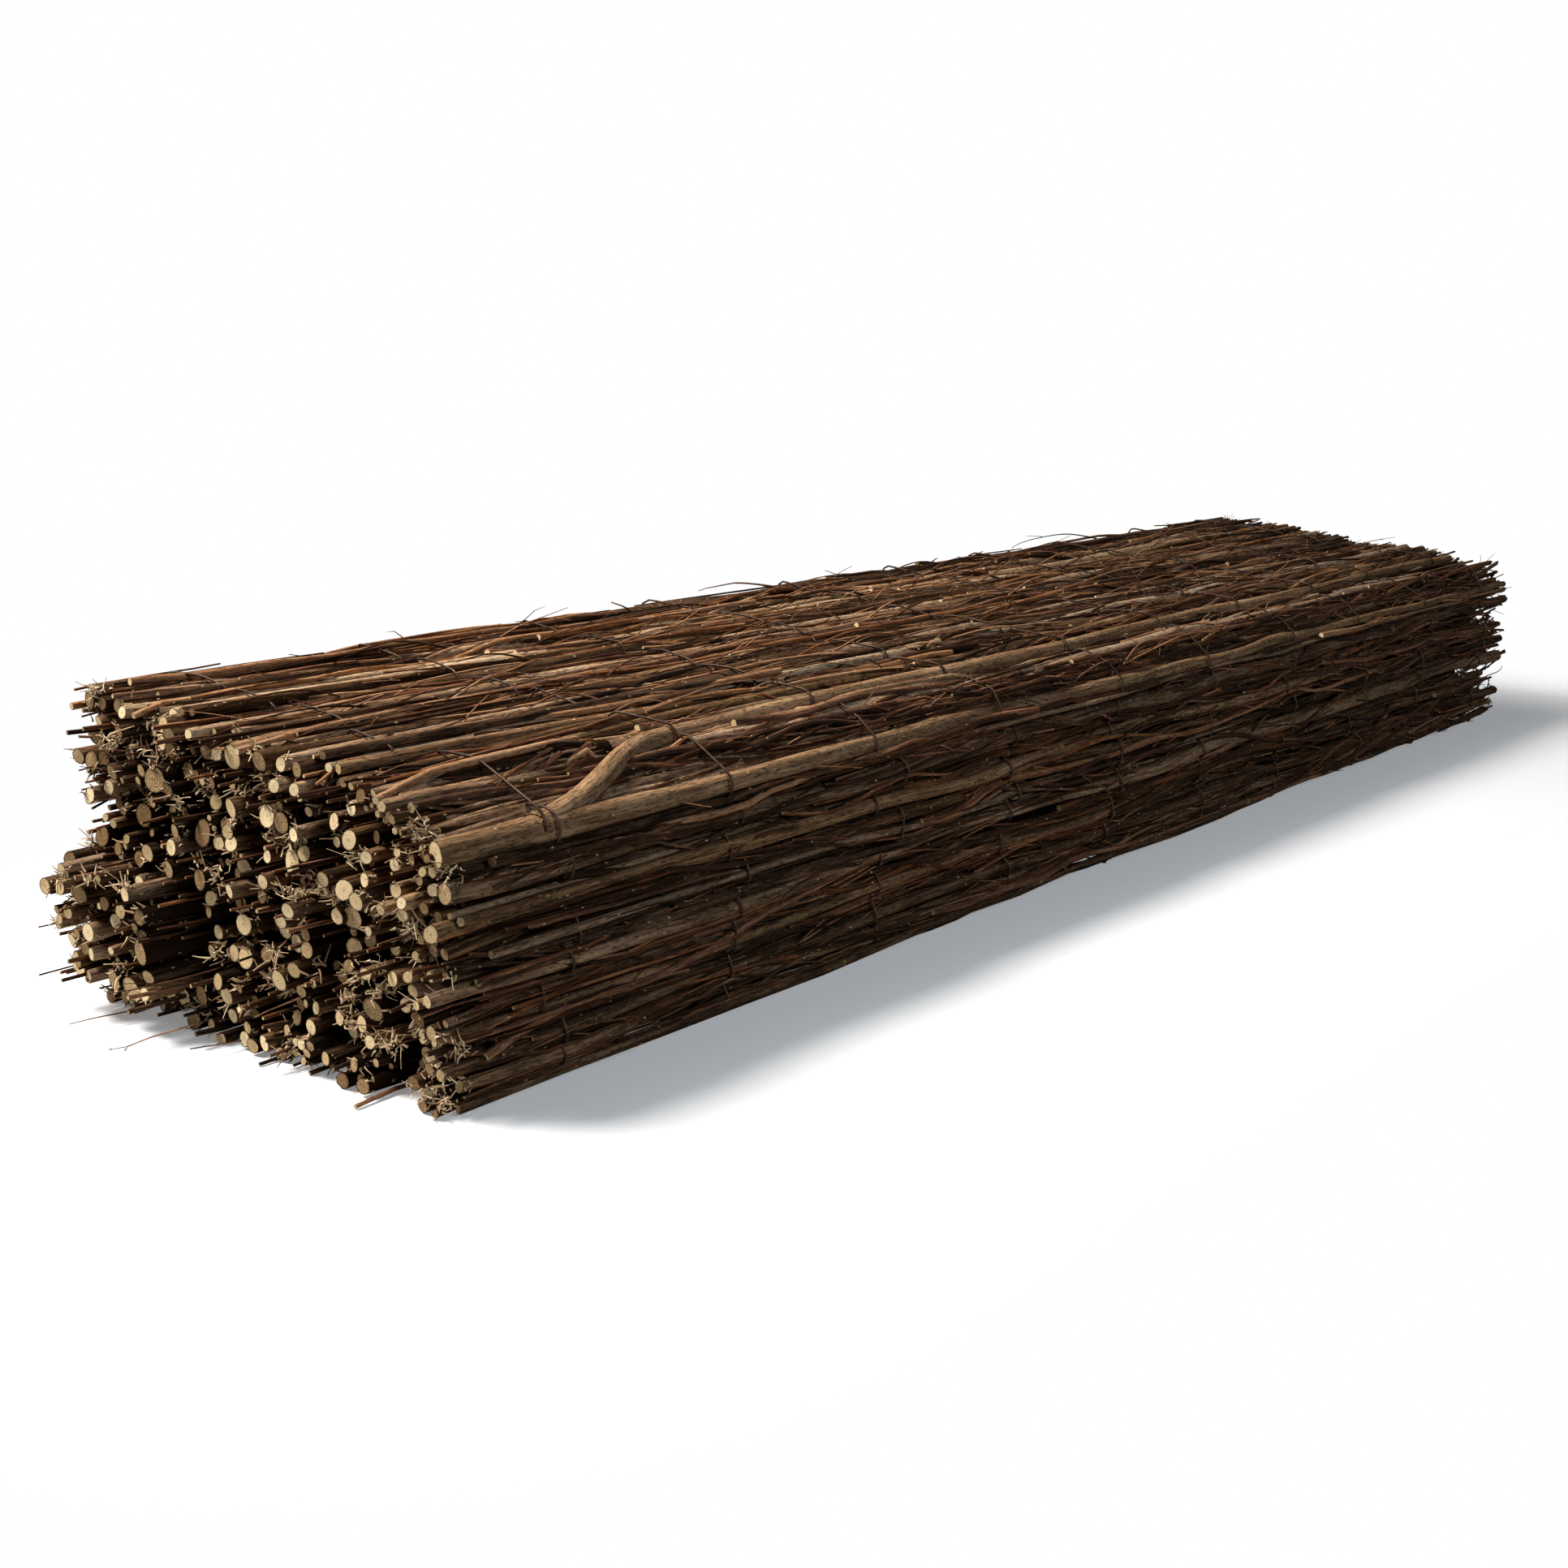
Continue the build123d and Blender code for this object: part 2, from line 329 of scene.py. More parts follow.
def fold_gaps(bunch, first):
    """Heights of the gaps between folds at one side, below every second layer from the first."""
    return [(bunch_box(layer - 1, bunch)[1].z + bunch_box(layer, bunch)[0].z) / 2
            for layer in range(first, LAYERS + 1, 2)]


def pack_faces(width=CAD_BOX[1].y, lowest=7 * MM):
    """The top and the two long sides of the pack."""
    right_top, left_top = bunch_box(LAYERS, 1)[1].z, bunch_box(LAYERS, BUNCHES)[1].z
    return {
        "top": Face(GRID_Y, GRID_Z, -0.97 * width, 0.98 * width, [], lambda x, a, h: (x, a, h)),
        "right": Face(GRID_Z, -GRID_Y, lowest, right_top, fold_gaps(1, 3), lambda x, a, h: (x, -h, a)),
        "left": Face(GRID_Z, GRID_Y, lowest, left_top, fold_gaps(BUNCHES, 2), lambda x, a, h: (x, h, a)),
    }


FACES = pack_faces()


def surface(face, x, across, lift, end_margin=60 * MM):
    """How far out a twig of radius lift lies on the bunches of a face."""
    bunched = slice(0, len(STEMS))
    nearest = np.clip(x, GRID[0] + end_margin, GRID[-1] - end_margin)
    column = np.round((nearest - GRID[0]) / GRID_STEP).astype(int)
    reach = GRID_R[bunched, column] + lift
    gap = np.abs(across - face.across[bunched, column])
    rise = np.sqrt(np.maximum(reach**2 - gap**2, 0)) - 1.1 * np.maximum(gap - reach, 0)
    height = np.where(GRID_ON[bunched, column], face.outward[bunched, column] + rise, -1.0)
    return height.max(axis=0)


def under_branch(x, across, height, lift, margin=14 * MM):
    """Lowers a twig where the forked branch lies over it, and beside the branch to its middle."""
    for stem in BRANCH:
        y, z, radius = stem.at(x)
        reach = radius + lift
        gap = np.abs(across - y)
        under = z - np.sqrt(np.maximum(reach**2 - gap**2, 0)) + 0.8 * np.maximum(gap - reach, 0)
        beside = stem.passes(x) & (gap < reach + margin)
        height = np.where(beside, np.minimum(height, under), height)
    return height


def meets_branch(line, margin=3 * MM):
    """Whether a line runs into the forked branch."""
    x, across, height = line.T
    for stem in BRANCH:
        y, z, radius = stem.at(x)
        if np.any(stem.passes(x) & (np.hypot(across - y, height - z) < radius + margin)):
            return True
    return False


def seat_branch(easing=(0.25, 0.6, 1.0, 0.6, 0.25)):
    """Presses the stems of the top layer under the limb that crosses them, with an easing to both sides."""
    for stem in STEMS:
        if stem.layer == LAYERS and stem.bunch in EDGE_BUNCHES:
            x, y, z = stem.line.T
            depth = np.pad(z - under_branch(x, y, z, stem.radius), len(easing) // 2, mode="edge")
            eased = [share * depth[shift:shift + len(z)] for shift, share in enumerate(easing)]
            stem.line[:, 2] = z - np.max(eased, axis=0)


seat_branch()


def settle(line, layer, radius):
    """Keeps a thin stem or twig of some layer under the forked branch and above the floor."""
    if layer == LAYERS:
        line[:, 2] = under_branch(*line.T, radius)
    return above_floor(line, radius)


# Mesh building

def new_object(name, data):
    """An object in the scene that holds a mesh, a light or a camera."""
    holder = bpy.data.objects.new(name, data)
    bpy.context.scene.collection.objects.link(holder)
    return holder


class Brush:
    """Collects tubes and cut ends for one mesh, with the values that its finish reads."""

    def __init__(self):
        self.points, self.grain, self.tint, self.faces, self.slots = [], [], [], [], []
        self.count = 0

    def add_points(self, points, grain, tint):
        """Adds corners and returns the number of the first."""
        first = self.count
        self.points.append(points)
        self.grain.append(grain)
        self.tint.append(np.broadcast_to(tint, (len(points), 4)))
        self.count += len(points)
        return first

    def add_faces(self, faces, slot):
        """Adds faces that all have as many corners, in one of the finishes of the mesh."""
        self.faces.append(faces)
        self.slots.append(np.full(len(faces), slot))

    def build(self, name, *finish_names):
        """Makes the mesh object in the named finishes, riding on the part."""
        low, high = np.array(CAD_BOX[0]) - OVERHANG, np.array(CAD_BOX[1]) + OVERHANG
        low[2] = 0.0
        points = np.clip(np.vstack(self.points), low, high).astype(np.float32)
        corners = np.concatenate([faces.ravel() for faces in self.faces]).astype(np.int32)
        sizes = np.concatenate([np.full(len(faces), faces.shape[1]) for faces in self.faces])
        mesh = bpy.data.meshes.new(name)
        mesh.vertices.add(len(points))
        mesh.vertices.foreach_set("co", points.ravel())
        mesh.loops.add(len(corners))
        mesh.loops.foreach_set("vertex_index", corners)
        mesh.polygons.add(len(sizes))
        mesh.polygons.foreach_set("loop_start", (np.cumsum(sizes) - sizes).astype(np.int32))
        mesh.polygons.foreach_set("material_index", np.concatenate(self.slots).astype(np.int32))
        mesh.polygons.foreach_set("use_smooth", np.ones(len(sizes), bool))
        mesh.update(calc_edges=True)
        for label, kind, field, values in (("grain", "FLOAT_VECTOR", "vector", self.grain),
                                           ("tint", "FLOAT_COLOR", "color", self.tint)):
            attribute = mesh.attributes.new(label, kind, "POINT")
            attribute.data.foreach_set(field, np.vstack(values).astype(np.float32).ravel())
        materials = finishes(bpy.context)
        for finish in finish_names:
            mesh.materials.append(materials[finish])
        piece = new_object(name, mesh)
        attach(piece, "root")
        return piece


def grain_shift(rng):
    """A chance place in the grain, so that no two pieces show the same bark."""
    return rng.uniform(0, 20, 3)


def tube_corners(line, along, reference, wide, angle, run):
    """Rings of corners round a line, and their places along and across the grain."""
    side = unit(np.cross(along, reference))
    up = np.cross(side, along)
    cos, sin = np.cos(angle), np.sin(angle)
    rings = line[:, None] + wide[..., None] * (cos[:, None] * side[:, None] + sin[:, None] * up[:, None])
    grain = np.stack(np.broadcast_arrays(run[:, None], wide * cos, wide * sin), axis=-1)
    return rings, grain.reshape(-1, 3)


def ring_quads(rings, sides, first, closed=False):
    """Faces between the rings of a tube."""
    ring = np.arange(rings if closed else rings - 1)[:, None] * sides
    here = np.arange(sides)[None]
    after = (here + 1) % sides
    above = (ring + sides) % (rings * sides)
    quads = np.stack([ring + here, ring + after, above + after, above + here], axis=-1)
    return first + quads.reshape(-1, 4)


def slant_ends(rings, along, most, rng):
    """Leans the first and last ring of a tube, as a hand saw or shears leave them."""
    for index in (0, -1):
        offset = rings[index] - rings[index].mean(axis=0)
        lean = rng.uniform(-most, most, 2)
        slide = offset[:, 1] * lean[0] + offset[:, 2] * lean[1]
        rings[index] += slide[:, None] * along[index]


def add_tube(brush, line, radius, sides, tint, rng, ridges=1.0, painted_shade=0.0, slant=0.0):
    """Adds the bark of a stem or twig and returns its rings of corners and its direction at each."""
    along = unit(np.gradient(line, axis=0))
    angle = TURN * np.arange(sides) / sides + rng.uniform(0, math.pi)
    wide = np.broadcast_to(radius, len(line))[:, None] * np.broadcast_to(ridges, sides)
    rings, grain = tube_corners(line, along, (0.0, 0.0, 1.0), wide, angle, run_along(line))
    shift = grain_shift(rng)
    if slant:
        slant_ends(rings, along, slant, rng)
    colour = np.tile(np.append(tint, 1.0), (len(line), sides, 1))
    # Painted shade: the first tint value is lowered, which darkens the bark.
    colour[..., 0] -= np.broadcast_to(painted_shade, len(line))[:, None]
    first = brush.add_points(rings.reshape(-1, 3), grain + shift, colour.reshape(-1, 4))
    brush.add_faces(ring_quads(len(line), sides, first), BARK_SLOT)
    return rings, along


def add_loop(brush, line, radius, sides, rng, grain_step=6 * MM):
    """A closed tube along a loop that lies across the pack."""
    along = unit(np.roll(line, -1, axis=0) - np.roll(line, 1, axis=0))
    angle = TURN * np.arange(sides) / sides
    wide = np.full((len(line), sides), radius)
    run = np.arange(len(line)) * grain_step
    rings, grain = tube_corners(line, along, (1.0, 0.0, 0.0), wide, angle, run)
    first = brush.add_points(rings.reshape(-1, 3), grain + grain_shift(rng), np.ones(4))
    brush.add_faces(ring_quads(len(line), sides, first, closed=True), BARK_SLOT)


def add_cut(brush, ring, outward, tint, levels, flip, rng):
    """Closes the end of a stem with a sawn face: rings of corners down to the pith."""
    middle = ring.mean(axis=0)
    bulge = rng.uniform(-0.08, 0.05) * np.linalg.norm(ring[0] - middle)
    shift = grain_shift(rng)
    firsts = []
    for level in levels:
        points = middle + (ring - middle) * level + outward * bulge * (1 - level)
        firsts.append(brush.add_points(points, points - middle + shift, (*tint[:2], level, 1.0)))
    centre = brush.add_points(middle[None] + outward * bulge, shift[None], (*tint[:2], 0.0, 1.0))
    here = np.arange(len(ring))
    after = (here + 1) % len(ring)
    fans = [(outer + here, inner + here, inner + after, outer + after)
            for outer, inner in zip(firsts, firsts[1:])]
    fans.append((firsts[-1] + here, np.full(len(ring), centre), firsts[-1] + after))
    for fan in fans:
        faces = np.stack(fan, axis=-1)
        brush.add_faces(faces[:, ::-1] if flip else faces, CUT_SLOT)


def add_cuts(brush, rings, along, tint, levels, rng):
    """Closes both ends of a tube."""
    add_cut(brush, rings[0], -along[0], tint, levels, False, rng)
    add_cut(brush, rings[-1], along[-1], tint, levels, True, rng)


def painted_end_shade(stem, depth=0.48, reach=80 * MM):
    """Painted shade: how much darker the bark is near the ends of a stem inside the pack, between the
    layers, where shade falls.
    """
    run = stem.line[:, 0]
    near_end = np.minimum(run - run[0], run[-1] - run)
    inside = stem.layer < LAYERS and 1 < stem.bunch < BUNCHES
    return (depth if inside else 0.0) * np.exp(-near_end / reach)


def add_stem(brush, stem, sides, rng):
    """A thick stem with ridged bark and two sawn ends."""
    lobes = np.arange(sides) * TURN / sides
    ridges = 1 + 0.04 * np.sin(2 * lobes + rng.uniform(0, 6)) + 0.02 * np.sin(3 * lobes + rng.uniform(0, 6))
    ridges += rng.normal(0, 0.015, sides)
    # The bark of a stem inside the pack is darkened towards its ends as painted shade.
    tube = add_tube(brush, stem.line, stem.radius, sides, stem.tint, rng, ridges, painted_end_shade(stem),
                    slant=0.2)
    add_cuts(brush, *tube, stem.tint, (1.0, 0.8, 0.42), rng)


def add_twig(brush, line, radius, sides, tint, rng):
    """A thin twig, with a small pale cut at both ends."""
    add_cuts(brush, *add_tube(brush, line, radius, sides, tint, rng), tint, (1.0,), rng)


# Finishes

def set_inputs(tree, node, values):
    """Feeds the inputs of a node, each from a value or from another node's socket."""
    for name, value in values.items():
        socket = node.inputs[name]
        if isinstance(value, bpy.types.NodeSocket):
            tree.links.new(value, socket)
        else:
            socket.default_value = (*value, 1.0) if socket.type == "RGBA" else value


def add_node(tree, kind, values=None, **settings):
    """A shader node with its settings and inputs."""
    node = tree.nodes.new(kind)
    for name, value in settings.items():
        setattr(node, name, value)
    set_inputs(tree, node, values or {})
    return node


def maths(tree, operation, first, second=0.0, third=0.0):
    """One step of arithmetic on values or sockets."""
    return add_node(tree, "ShaderNodeMath", {0: first, 1: second, 2: third}, operation=operation).outputs[0]


def weighted(tree, total, *terms):
    """A value to which sockets are added, each times its weight."""
    for socket, weight in terms:
        total = maths(tree, "MULTIPLY_ADD", socket, weight, total)
    return total


def mask(tree, value, none, full):
    """A mask that is 0 where a value is at one level and 1 where it is at another."""
    levels = {"Value": value, "From Min": none, "From Max": full}
    return add_node(tree, "ShaderNodeMapRange", levels).outputs[0]


def ramp(tree, factor, stops):
    """A colour ramp with the given places and colours."""
    node = add_node(tree, "ShaderNodeValToRGB", {"Fac": factor})
    elements = node.color_ramp.elements
    while len(elements) < len(stops):
        elements.new(0.5)
    for element, (place, colour) in zip(elements, stops):
        element.position = place
        element.color = (*colour, 1.0)
    return node.outputs["Color"]


def mix_colours(tree, where, amount, first, second):
    """The first colour with an amount of the second where a mask is full."""
    factor = maths(tree, "MULTIPLY", where, amount)
    node = add_node(tree, "ShaderNodeMix", data_type="RGBA", clamp_factor=True)
    factor_in, first_in, second_in = 0, 6, 7
    set_inputs(tree, node, {factor_in: factor, first_in: first, second_in: second})
    return node.outputs[2]


def stretched(tree, grain, scale):
    """Places in the grain, times a scale for each axis."""
    return add_node(tree, "ShaderNodeVectorMath", {0: grain, 1: scale}, operation="MULTIPLY").outputs[0]


def noise(tree, grain, scale, detail, roughness=0.6):
    """Noise drawn out along the grain."""
    values = {"Vector": stretched(tree, grain, scale), "Scale": 1.0, "Detail": detail,
              "Roughness": roughness}
    return add_node(tree, "ShaderNodeTexNoise", values).outputs["Fac"]


def relief(tree, strength, depth, height):
    """The normal of a surface with small relief."""
    values = {"Strength": strength, "Distance": depth, "Height": height}
    return add_node(tree, "ShaderNodeBump", values).outputs["Normal"]


def grain_group():
    """Bark seen close: furrows, blotches, cracks and pale pores as masks, and their height together."""
    group = bpy.data.node_groups.new("Bark grain", "ShaderNodeTree")
    group.interface.new_socket("Grain", in_out="INPUT", socket_type="NodeSocketVector")
    grain = group.nodes.new("NodeGroupInput").outputs["Grain"]
    furrow = noise(group, grain, (22, 520, 520), 4.0, 0.65)
    blotch = noise(group, grain, (14, 70, 70), 3.0)
    fleck = noise(group, grain, (260, 900, 900), 2.0)
    crack = mask(group, noise(group, grain, (170, 900, 900), 3.0, 0.55), 0.47, 0.36)
    pores = add_node(group, "ShaderNodeTexVoronoi",
                     {"Vector": stretched(group, grain, (170, 300, 300)), "Scale": 1.0}).outputs
    lot = add_node(group, "ShaderNodeSeparateColor", {"Color": pores["Color"]}).outputs[0]
    chosen = maths(group, "GREATER_THAN", lot, 0.87)
    pore = maths(group, "MULTIPLY", mask(group, pores["Distance"], 0.26, 0.12), chosen)
    height = weighted(group, 0.0, (furrow, 0.8), (fleck, 0.25), (pore, 0.2), (crack, -0.35))
    results = {"Furrow": furrow, "Blotch": blotch, "Crack": crack, "Pore": pore, "Height": height}
    for label in results:
        group.interface.new_socket(label, in_out="OUTPUT", socket_type="NodeSocketFloat")
    set_inputs(group, group.nodes.new("NodeGroupOutput"), results)
    return group


def start_material(name):
    """A material, its node tree and its shader."""
    material = bpy.data.materials.new(name)
    material.use_nodes = True
    return material, material.node_tree, material.node_tree.nodes["Principled BSDF"]


def grain_of(tree):
    """Places along and across the grain of a piece."""
    return add_node(tree, "ShaderNodeAttribute", attribute_name="grain").outputs["Vector"]


def tint_of(tree):
    """Three chance values of a stem or twig, the first one lowered where shade is painted. On a cut end the
    third runs from the pith out to the bark.
    """
    tint = add_node(tree, "ShaderNodeAttribute", attribute_name="tint").outputs["Color"]
    return add_node(tree, "ShaderNodeSeparateColor", {"Color": tint}).outputs


def bark_material(name, group, colours, pore_colour, bump, roughness, gloss):
    """Bark in the given run of colours, from the bottom of its furrows to its rubbed ridges."""
    _, tree, shader = start_material(name)
    tint = tint_of(tree)
    bark = add_node(tree, "ShaderNodeGroup", {"Grain": grain_of(tree)}, node_tree=group).outputs
    # The first tint value shifts the tone; where it is lowered for painted shade, the bark is darker.
    tone = weighted(tree, -0.22, (bark["Furrow"], 0.62), (bark["Blotch"], 0.38), (tint[0], 0.44))
    warm = ramp(tree, tone, list(zip((0.25, 0.40, 0.53, 0.67, 0.85), colours)))
    grey = add_node(tree, "ShaderNodeHueSaturation", {"Saturation": 0.78, "Value": 0.95, "Color": warm})
    coloured = mix_colours(tree, tint[1], 0.75, warm, grey.outputs["Color"])
    cracked = mix_colours(tree, bark["Crack"], 0.6, coloured, colours[0])
    dotted = mix_colours(tree, bark["Pore"], 0.7, cracked, pore_colour)
    set_inputs(tree, shader, {"Base Color": dotted, "Specular IOR Level": gloss,
                              "Roughness": weighted(tree, roughness, (bark["Blotch"], -0.25)),
                              "Normal": relief(tree, bump, 1.2 * MM, bark["Height"])})


def cut_material(look):
    """Sawn wood: pale rings round a dark pith, weathered and rimmed with bark."""
    _, tree, shader = start_material(CUT)
    grain, tint = grain_of(tree), tint_of(tree)
    rind = tint[2]
    rough_rings = noise(tree, grain, (500, 500, 500), 2.0)
    cracks = noise(tree, grain, (900, 900, 900), 4.0, 0.75)
    year_rings = maths(tree, "SINE", weighted(tree, 0.0, (rind, 26.0), (rough_rings, 7.0)))
    rings = weighted(tree, 0.5, (year_rings, 0.08))
    tone = weighted(tree, -0.2, (rings, 0.55), (cracks, 0.6), (tint[0], 0.45))
    wood = ramp(tree, tone, [(0.18, look.cut_shadow), (0.42, look.cut_dark), (0.62, look.cut_middle),
                             (0.9, look.cut_pale)])
    with_pith = mix_colours(tree, mask(tree, rind, 0.22, 0.02), 0.45, wood, look.cut_shadow)
    rimmed = mix_colours(tree, mask(tree, rind, 0.84, 0.95), 1.0, with_pith, look.bark_dark)
    set_inputs(tree, shader, {"Base Color": rimmed, "Roughness": 0.85, "Specular IOR Level": 0.04,
                              "Normal": relief(tree, 0.8, 0.8 * MM, tone)})


def wire_material(look):
    """Dark annealed wire with a little bare metal."""
    _, tree, shader = start_material(WIRE)
    scale = noise(tree, grain_of(tree), (160, 900, 900), 4.0)
    colour = ramp(tree, scale, [(0.35, look.wire_dark), (0.6, look.wire_middle), (0.8, look.wire_rust)])
    set_inputs(tree, shader, {"Base Color": colour, "Metallic": 1.0,
                              "Roughness": weighted(tree, 0.34, (scale, 0.3))})


def finishes(context):
    """The materials of the pack, made from the colours in the scene's settings where they aren't there yet.
    """
    if BARK not in bpy.data.materials:
        look = context.scene.heather_look
        group = grain_group()
        stem_colours = (look.bark_dark, look.bark_brown, look.bark_middle, look.bark_tan, look.bark_pale)
        twig_colours = (look.bark_dark, look.twig_dark, look.twig_red, look.twig_tan, look.bark_tan)
        fibre_colours = (look.twig_tan, look.bark_tan, look.bark_pale, look.cut_middle, look.cut_pale)
        bark_material(BARK, group, stem_colours, look.bark_pale, bump=0.95, roughness=0.9, gloss=0.0)
        bark_material(TWIG, group, twig_colours, look.bark_pale, bump=0.5, roughness=0.8, gloss=0.015)
        bark_material(FIBRE, group, fibre_colours, look.cut_pale, bump=0.4, roughness=0.9, gloss=0.0)
        cut_material(look)
        wire_material(look)
    return bpy.data.materials


def colour_property(name, colour, description):
    """A colour that a user may change."""
    return bpy.props.FloatVectorProperty(name=name, description=description, default=colour, size=3,
                                         min=0.0, max=1.0, subtype="COLOR")


def count_property(name, count, description, least=0):
    """A number of pieces that a user may change."""
    return bpy.props.IntProperty(name=name, description=description, default=count, min=least,
                                 subtype="UNSIGNED")


class HeatherLook(bpy.types.PropertyGroup):
    """Colours of bark, cut wood and wire."""

    bark_dark: colour_property("Bark shadow", (0.013, 0.0065, 0.0033), "Bottom of the furrows in the bark")
    bark_brown: colour_property("Bark brown", (0.082, 0.040, 0.018), "Darker bark")
    bark_middle: colour_property("Bark middle", (0.212, 0.111, 0.049), "Most of the bark")
    bark_tan: colour_property("Bark tan", (0.370, 0.213, 0.102), "Rubbed bark")
    bark_pale: colour_property("Bark pale", (0.56, 0.380, 0.210), "Ridges and pores")
    twig_dark: colour_property("Twig dark", (0.045, 0.018, 0.007), "Darker twigs")
    twig_red: colour_property("Twig red", (0.156, 0.055, 0.019), "Most of the twigs")
    twig_tan: colour_property("Twig tan", (0.34, 0.150, 0.056), "Paler twigs")
    cut_shadow: colour_property("Cut shadow", (0.085, 0.045, 0.020), "Pith and cracks of a cut end")
    cut_dark: colour_property("Cut dark", (0.20, 0.115, 0.050), "Weathered cut ends")
    cut_middle: colour_property("Cut middle", (0.58, 0.415, 0.215), "Most of a cut end")
    cut_pale: colour_property("Cut pale", (0.91, 0.72, 0.44), "Fresh cut wood")
    wire_dark: colour_property("Wire dark", (0.022, 0.013, 0.009), "Scale on the wire")
    wire_middle: colour_property("Wire middle", (0.048, 0.028, 0.018), "Most of the wire")
    wire_rust: colour_property("Wire rust", (0.120, 0.062, 0.034), "Rusty places on the wire")


class HeatherBrushwood(bpy.types.PropertyGroup):
    """How much thin wood fills and covers the bunches."""

    filler_stems: count_property("Filler stems", 5, "Thinner stems in each bunch")
    shoulder_stems: count_property("Shoulder stems", 70, "Stems beside the forked branch")
    near_twigs: count_property("Twigs at the near end", 20, "In each bunch")
    far_twigs: count_property("Twigs at the far end", 18, "In each bunch")
    top_twigs: count_property("Twigs on top", 720, "Long twigs on the top face")
    right_twigs: count_property("Twigs at the right", 430, "Long twigs on the right-hand face")
    left_twigs: count_property("Twigs at the left", 330, "Long twigs on the left-hand face")
    stray_twigs: count_property("Stray twigs", 260, "Twigs that stand out of the pack")
    near_clumps: count_property("Clumps at the near end", 80, "Shaggy clumps of torn fibres")
    far_clumps: count_property("Clumps at the far end", 40, "Shaggy clumps of torn fibres")
    end_fibres: count_property("Fibres at an end", 13, "Most torn fibres at a sawn end", least=2)


class HeatherStage(bpy.types.PropertyGroup):
    """Camera, light and floor."""

    lens: bpy.props.FloatProperty(name="Lens", description="Focal length", default=45.98, min=1.0,
                                  unit="CAMERA")
    yaw: bpy.props.FloatProperty(name="Yaw", description="Turn of the camera from across the pack",
                                 default=math.radians(50.544), subtype="ANGLE")
    pitch: bpy.props.FloatProperty(name="Pitch", description="How far the camera looks down",
                                   default=math.radians(12.789), subtype="ANGLE")
    place: bpy.props.FloatVectorProperty(name="Camera place", description="Where the camera stands",
                                         default=(-1.3897, -0.9332, 0.4096), subtype="TRANSLATION",
                                         unit="LENGTH")
    key_power: bpy.props.FloatProperty(name="Key light", description="Power of the key light",
                                       default=33.5, unit="POWER")
    fill_power: bpy.props.FloatProperty(name="Fill light", description="Power of the fill light",
                                        default=29.0, unit="POWER")
    sky: bpy.props.FloatProperty(name="Sky", description="Strength of the even light all round",
                                 default=0.02, min=0.0, max=1.0, subtype="FACTOR")
    floor: colour_property("Floor", (0.86, 0.86, 0.86), "Colour of the floor")


# Pieces

def free_place(layer, bunch, columns, radius, rng, tries=40, margin=2.5 * MM):
    """A place across a bunch, clear of the thick stems at some columns, or None where it has no room."""
    low, high = bunch_box(layer, bunch)
    for _ in range(tries):
        y = rng.uniform(low.y - margin, high.y + margin)
        z = rng.uniform(max(low.z - margin, radius), high.z + 0.4 * margin)
        apart = np.hypot(GRID_Y[:, columns] - y, GRID_Z[:, columns] - z) - GRID_R[:, columns]
        if apart.min() > 0.85 * radius:
            return y, z
    return None


def add_spurs(brush, line, radius, rng, most=4, thickest=1.7 * MM):
    """Short side shoots on a stem or twig."""
    along = unit(np.gradient(line, axis=0))
    share = np.linspace(0, 1, 4)[:, None]
    for _ in range(rng.integers(0, most)):
        index = rng.integers(1, len(line) - 1)
        lean = rng.normal(size=3)
        lean = unit(lean - along[index] * lean.dot(along[index]))
        heading = along[index] * rng.uniform(0.7, 1.3) + lean * rng.uniform(0.25, 0.6)
        length = between(rng, 6, 26)
        spur = line[index] + heading * length * share + along[index] * 0.4 * length * share**2
        above_floor(spur, 0.8 * MM)
        if not meets_branch(spur):
            width = np.linspace(0.5, 0.22, len(spur)) * min(radius[index], thickest) + 0.15 * MM
            add_twig(brush, spur, width, FIBRE_SIDES, rng.random(3), rng)


class HEATHER_OT_stems(bpy.types.Operator):
    """Barks the thick stems, layer by layer"""

    bl_idname = "heather.stems"
    bl_label = "Stems"

    def execute(self, context):
        for layer in range(1, LAYERS + 1):
            rng = chance("bark", layer)
            brush = Brush()
            for stem in STEMS:
                if stem.layer == layer:
                    add_stem(brush, stem, STEM_SIDES, rng)
                    if is_outside(layer, stem.bunch):
                        add_spurs(brush, stem.line, 0.5 * stem.radius, rng)
            piece = brush.build(f"stems_layer_{layer}", BARK, CUT)
            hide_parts(*[f"layer_{layer}_bunch_{bunch}" for bunch in range(1, BUNCHES + 1)])
        return {"FINISHED"}


class HEATHER_OT_branch(bpy.types.Operator):
    """Barks the forked branch on top"""

    bl_idname = "heather.branch"
    bl_label = "Forked branch"

    def execute(self, context):
        rng = chance("fork")
        brush = Brush()
        for stem in BRANCH:
            add_stem(brush, stem, BRANCH_SIDES, rng)
        piece = brush.build("branch_bark", BARK, CUT)
        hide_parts("forked_branch")
        return {"FINISHED"}


def shoulder_stem(rng):
    """A thin stem in the hollow between the trunk and the upper limb of the forked branch."""
    trunk, limb = BRANCH
    radius = between(rng, 1.2, 3.6)
    start = CAD_BOX[0].x + NEAR_STEP
    start += between(rng, -3, 30) if rng.random() < 0.6 else rng.uniform(0.05, 0.9)
    end = min(start + rng.uniform(0.25, 1.2), CAD_BOX[1].x - between(rng, 0, 30))
    x = start + (end - start) * np.linspace(0, 1, stations_in(end - start, 24 * MM))
    (crest_y, crest_z, _), (edge_y, edge_z, _) = limb.at(0.0), trunk.at(0.0)
    across = edge_y + (crest_y - edge_y) * rng.uniform(0.1, 1.15)
    across = across + between(rng, 1, 4) * waves(x, rng, longest=0.4)
    height = np.interp(across, [edge_y, crest_y], [edge_z, crest_z]) + between(rng, -5, 3.5)
    height = under_branch(x, across, height + 1.2 * MM * waves(x, rng, longest=0.4), radius)
    line = np.column_stack([x, across, height])
    return Stem(LAYERS, 1, line, knotty(radius, radius * 0.6, line, rng), rng.random(3))


